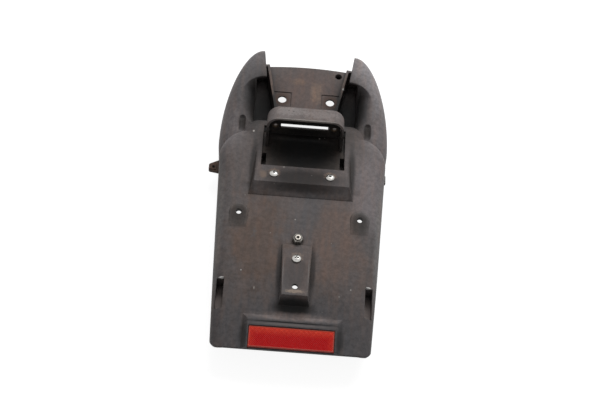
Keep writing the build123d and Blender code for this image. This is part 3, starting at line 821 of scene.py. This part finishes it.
@dataclass
class LampHood:
    """The plate lamp's hood with its two screws and their nuts."""

    base: Triple = (0.186, 0.164, 0.160)
    cloud: Triple = (0.155, 0.130, 0.121)
    # Near black for painted shade inside the hood and its painted shadow on the tray.
    painted_shade: Triple = (0.010, 0.010, 0.010)
    tray: Triple = (0.060, 0.051, 0.046)
    sheen: float = 0.08

    def stains_and_painted_light(self) -> ColourSpots:
        """List the spots under the crevice mask.

        Returns:
            Painted shade inside the hood, and a brown tray with painted shadow in its middle.
        """
        return (
            # Painted shade inside the hood.
            ColourSpot((0, -80, 42), (100, 50, 25), self.painted_shade, 1.0, 0.05),
            ColourSpot((0, -94, 30), (110, 70, 18), self.tray, 1.0, 0.05),
            # Painted shadow of the hood in the tray's middle.
            ColourSpot((0, -90, 32), (54, 58, 30), self.painted_shade, 1.0, 0.05),
        )

    def scuffs_and_painted_light(self) -> ColourSpots:
        """List the marks over the crevice mask.

        Returns:
            Brassy rings at the lamp's fixings, rubbed places on the roof, and a painted highlight
            on its edge.
        """
        return (
            *pair(ColourSpot((33, -67, 35), (5, 5, 5), (0.20, 0.125, 0.07), 0.9, 0.3, 90.0, 0.45)),
            ColourSpot((-18, -68, 68), (24, 10, 5), (0.34, 0.31, 0.30), 0.55, 3.0, 420.0),
            ColourSpot((16, -71, 67.5), (26, 9, 5), (0.30, 0.265, 0.255), 0.55, 2.8, 340.0),
            # Painted highlight along the roof's edge.
            ColourSpot((0, -81.6, 69.4), (64, 1.9, 1.9), (0.42, 0.385, 0.36), 0.9, 0.5, 160.0),
        )

    def build(self, dresser: Dresser) -> None:
        """Dress the hood and its fasteners.

        Args:
            dresser: Gives the nodes their finish.
        """
        stains_and_painted_light, scuffs_and_painted_light = self.stains_and_painted_light(), self.scuffs_and_painted_light()
        look = MouldingFinish("worn_hood_with_painted_light", self.base, self.cloud, stains_and_painted_light, scuffs_and_painted_light, sheen=self.sheen)
        dresser.dress("plate_lamp_hood", look)
        dresser.dress("lamp_hood_screws", SCREW)
        dresser.dress("lamp_hood_nuts", STEEL)


@dataclass
class CentreBlock:
    """Fasteners in and above the centre block."""

    block_screw: SteelFinish = SCREW
    block_nut: SteelFinish = STEEL
    stay_bolt: SteelFinish = BOLT_END
    stay_nut: SteelFinish = STEEL

    def build(self, dresser: Dresser) -> None:
        """Dress the fasteners.

        Args:
            dresser: Gives the nodes their finish.
        """
        dresser.dress("block_screw", self.block_screw)
        dresser.dress("block_nut", self.block_nut)
        dresser.dress("stay_bolt", self.stay_bolt)
        dresser.dress("stay_nut", self.stay_nut)


@dataclass
class Reflector:
    """Red reflector: a rimmed lens over a field of prisms, its backing and its nut."""

    # Attribute names of the painted glint and the pale rim.
    PAINTED_GLINT: ClassVar[str] = "painted_glint"
    RIM: ClassVar[str] = "rim"
    origin: Triple = (0.0, -324.0, 2.1)
    slope: float = 14.0
    level: float = 1.8
    thickness: float = 2.6
    half: float = 44.0
    low: float = 1.2
    high: float = 23.1
    edge: float = 0.6
    facet: float = 1.05
    depth: float = 0.30
    # Bands and shares that place the painted glints.
    top_band: float = 9.5
    top_fade: float = 0.8
    end_band: float = 8.0
    end_share: float = 0.6
    weave: float = 5.0
    dull_share: float = 0.42
    foot_share: float = 0.75
    peak_lift: float = 0.05
    rim_share: float = 0.7
    side_share: float = 0.25

    def place(self, x: float, v: float, rise: float) -> Triple:
        """Place a point on the flap's slope.

        Args:
            x: Distance across, in millimetres.
            v: Distance up the slope.
            rise: Distance out from the slope.

        Returns:
            The point in metres of the row frame.
        """
        along, out = math.cos(math.radians(self.slope)), math.sin(math.radians(self.slope))
        _, y, z = self.origin
        return x * MM, (y + v * along - rise * out) * MM, (z + v * out + rise * along) * MM

    def steps(self, start: float, end: float) -> list[float]:
        """Even steps from start to end, about a facet long."""
        count = 2 * round((end - start) / self.facet / 2)
        return [start + (end - start) * i / count for i in range(count + 1)]

    def glow(self, x: float, v: float, peak: bool) -> float:
        """Work out the share of the painted glint colour at a prism's peak or foot.

        Args:
            x: Distance across, in millimetres.
            v: Distance up the slope.
            peak: Whether the point is a prism's peak.

        Returns:
            The share, highest along the top edge and at both ends.
        """
        fade = self.top_fade * self.top_band
        top = min(max((v - self.high + self.top_band) / fade, 0.0), 1.0)
        end = min(max((abs(x) - self.half + self.end_band) / self.end_band, 0.0), 1.0)
        share = max(top, self.end_share * end)
        bands = [abs(((x + side * v) / self.weave) % 1.0 - 0.5) * 2 for side in (1, -1)]
        share *= self.dull_share + (1.0 - self.dull_share) * max(bands) ** 4
        return share + self.peak_lift if peak else self.foot_share * share

    def lens_mesh(self) -> bpy.types.Mesh:
        """Build the lens with a bevelled rim, a field of prisms and their painted glints.

        Returns:
            The mesh.
        """
        bm = bmesh.new()
        painted_glint = bm.verts.layers.float.new(self.PAINTED_GLINT)
        rim = bm.verts.layers.float.new(self.RIM)
        xs = self.steps(-self.half + self.edge, self.half - self.edge)
        vs = self.steps(self.low + self.edge, self.high - self.edge)
        last_i, last_j = len(xs) - 1, len(vs) - 1
        top = self.level + self.thickness
        field = {}
        for i, x in enumerate(xs):
            for j, v in enumerate(vs):
                border = i in (0, last_i) or j in (0, last_j)
                peak = (i + j) % 2 == 0
                rise = top if border or peak else top - self.depth
                vert = bm.verts.new(self.place(x, v, rise))
                vert[painted_glint] = self.glow(x, v, peak)
                vert[rim] = self.rim_share if border else 0.0
                field[i, j] = vert
        self.add_facets(bm, field, last_i, last_j)
        self.add_sides(bm, self.border(field, last_i, last_j), rim)
        mesh = bpy.data.meshes.new("reflector_prisms")
        bm.to_mesh(mesh)
        bm.free()
        return mesh

    def add_facets(self, bm: bmesh.types.BMesh, field: dict, last_i: int, last_j: int) -> None:
        """Add the prisms' faces, two to a cell, split from foot to foot.

        Args:
            bm: Mesh under construction.
            field: Vertices by their lattice place.
            last_i: Last place across.
            last_j: Last place up the slope.
        """
        for i in range(last_i):
            for j in range(last_j):
                a, b = field[i, j], field[i + 1, j]
                c, d = field[i + 1, j + 1], field[i, j + 1]
                even = (i + j) % 2 == 0
                for corners in ((a, b, d), (b, c, d)) if even else ((a, b, c), (a, c, d)):
                    bm.faces.new(corners)

    def border(self, field: dict, last_i: int, last_j: int) -> list[tuple]:
        """Walk round the border of the field, counter-clockwise.

        Args:
            field: Vertices by their lattice place.
            last_i: Last place across.
            last_j: Last place up the slope.

        Returns:
            Each border vertex, with its place as shares across and up.
        """
        around = [(i, 0) for i in range(last_i)]
        around += [(last_i, j) for j in range(last_j)]
        around += [(i, last_j) for i in range(last_i, 0, -1)]
        around += [(0, j) for j in range(last_j, 0, -1)]
        return [(field[i, j], i / last_i, j / last_j) for i, j in around]

    def add_sides(self, bm: bmesh.types.BMesh, border: list[tuple], rim: object) -> None:
        """Add the bevel, the side walls and the back of the lens.

        Args:
            bm: Mesh under construction.
            border: Border vertices with their places as shares.
            rim: Layer that marks the pale rim.
        """
        rings = [[vert for vert, _, _ in border]]
        for rise in (self.level + self.thickness - self.edge, self.level):
            ring = []
            for _, across, up in border:
                x = self.half * (2 * across - 1)
                v = self.low + (self.high - self.low) * up
                vert = bm.verts.new(self.place(x, v, rise))
                vert[rim] = self.side_share
                ring.append(vert)
            rings.append(ring)
        for upper, lower in zip(rings, rings[1:]):
            for k in range(len(upper)):
                n = (k + 1) % len(upper)
                bm.faces.new((upper[k], lower[k], lower[n], upper[n]))
        bm.faces.new(tuple(reversed(rings[-1])))

    def build(self, dresser: Dresser) -> None:
        """Build the lens in place of its plain solid, and dress the rest.

        Args:
            dresser: Gives the pieces their finish.
        """
        lens = bpy.data.objects.new("reflector_prisms", self.lens_mesh())
        bpy.context.scene.collection.objects.link(lens)
        lens.data.materials.append(dresser.finish(PrismFinish()))
        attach(lens, "root")
        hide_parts("reflector_lens")
        LOG.info("built %s", lens.name)
        dresser.dress("reflector_back", BACKING)
        dresser.dress("reflector_nut", STEEL)


@dataclass
class SideClip:
    """Rusty sheet clip on the left ear."""

    look: SteelFinish = RUST

    def build(self, dresser: Dresser) -> None:
        """Dress the clip."""
        dresser.dress("side_clip_nut", self.look)


@dataclass
class Studio:
    """Camera, floor, light and backdrop. The camera is in millimetres, the rest in metres."""

    target: Triple = (0.03, -144.15, 7.8)
    azimuth: float = 1.968
    elevation: float = 57.0
    roll: float = 5.98
    distance: float = 1210.0
    lens: float = 66.0
    clip_start: float = 0.05
    floor_size: float = 8.0
    floor_colour: Triple = (0.30, 0.30, 0.30)
    floor_roughness: float = 0.9
    floor_glow: float = 0.90
    white: Triple = (1.0, 1.0, 1.0)
    lamp_aim: Triple = (0.0, -0.14, 0.02)
    key_place: Triple = (0.30, 0.80, 1.25)
    key_size: Double = (1.3, 0.9)
    key_energy: float = 17.5
    fill_place: Triple = (0.5, -1.4, 1.2)
    fill_size: Double = (1.2, 1.2)
    fill_energy: float = 0.4
    sky: float = 0.24

    def camera(self) -> None:
        """Set the camera that was fitted to the photo."""
        a, e, r = (math.radians(x) for x in (self.azimuth, self.elevation, self.roll))
        back = Vector((-math.sin(a) * math.cos(e), -math.cos(a) * math.cos(e), math.sin(e)))
        right = Vector((math.cos(a), -math.sin(a), 0.0))
        up = back.cross(right)
        across = math.cos(r) * right + math.sin(r) * up
        above = -math.sin(r) * right + math.cos(r) * up
        place = (Vector(self.target) + self.distance * back) * MM
        data = bpy.data.cameras.new("camera")
        data.lens = self.lens
        data.clip_start = self.clip_start
        camera = bpy.data.objects.new("camera", data)
        turn = Matrix((across, above, back)).transposed().to_4x4()
        camera.matrix_world = Matrix.Translation(place) @ turn
        bpy.context.scene.collection.objects.link(camera)
        bpy.context.scene.camera = camera

    def seen(self, g: Graph) -> Socket:
        """Tell whether a ray comes from the camera, a reflection or a clear part.

        Args:
            g: Graph of the material or the world.

        Returns:
            1 for such a ray, and 0 for one that lights the scene.
        """
        path = g.add("LightPath").outputs
        mirrored = g.math("MAXIMUM", path["Is Glossy Ray"], path["Is Transmission Ray"])
        return g.math("MAXIMUM", path["Is Camera Ray"], mirrored)

    def floor(self) -> None:
        """Lay a pale floor that looks white and keeps a light shadow."""
        low = CAD_BOUNDS[0][2]
        half = self.floor_size / 2
        corners = [(x * half, y * half, low) for x, y in ((-1, -1), (1, -1), (1, 1), (-1, 1))]
        mesh = bpy.data.meshes.new("floor")
        mesh.from_pydata(corners, [], [(0, 1, 2, 3)])
        floor = bpy.data.objects.new("floor", mesh)
        bpy.context.scene.collection.objects.link(floor)
        material, g, shader = new_material("pale_floor")
        g.put(shader.inputs["Base Color"], self.floor_colour)
        g.put(shader.inputs["Roughness"], self.floor_roughness)
        g.put(shader.inputs["Emission Color"], self.white)
        glow = g.math("MULTIPLY", self.seen(g), self.floor_glow)
        g.put(shader.inputs["Emission Strength"], glow)
        mesh.materials.append(material)

    def lamp(self, name: str, place: Triple, size: Double, energy: float) -> None:
        """Hang a soft box that is aimed at the object.

        Args:
            name: Name of the lamp.
            place: Where it hangs.
            size: Its width and height.
            energy: Its power, in watts.
        """
        data = bpy.data.lights.new(name, "AREA")
        data.shape = "RECTANGLE"
        data.size, data.size_y = size
        data.energy = energy
        lamp = bpy.data.objects.new(name, data)
        lamp.location = place
        aim = Vector(self.lamp_aim) - Vector(place)
        lamp.rotation_euler = aim.to_track_quat("-Z", "Y").to_euler()
        bpy.context.scene.collection.objects.link(lamp)

    def world(self) -> None:
        """Set an even sky that the camera sees as white."""
        world = bpy.data.worlds.new("studio")
        world.use_nodes = True
        g = Graph(world.node_tree)
        sky = world.node_tree.nodes["Background"]
        g.put(sky.inputs["Color"], self.white)
        g.put(sky.inputs["Strength"], g.span(self.seen(g), 0.0, 1.0, self.sky, 1.0))
        bpy.context.scene.world = world

    def build(self) -> None:
        """Set the stage."""
        bpy.context.scene.view_settings.view_transform = "Standard"
        self.camera()
        self.floor()
        self.lamp("key", self.key_place, self.key_size, self.key_energy)
        self.lamp("fill", self.fill_place, self.fill_size, self.fill_energy)
        self.world()
        LOG.info("studio is set")


def main() -> None:
    """Build every sub-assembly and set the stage."""
    logging.basicConfig(level=logging.INFO, format="%(message)s")
    dresser = Dresser()
    for assembly in (MouldedShell(), LampHood(), CentreBlock(), Reflector(), SideClip()):
        assembly.build(dresser)
    Studio().build()


if __name__ == "__main__":
    main()
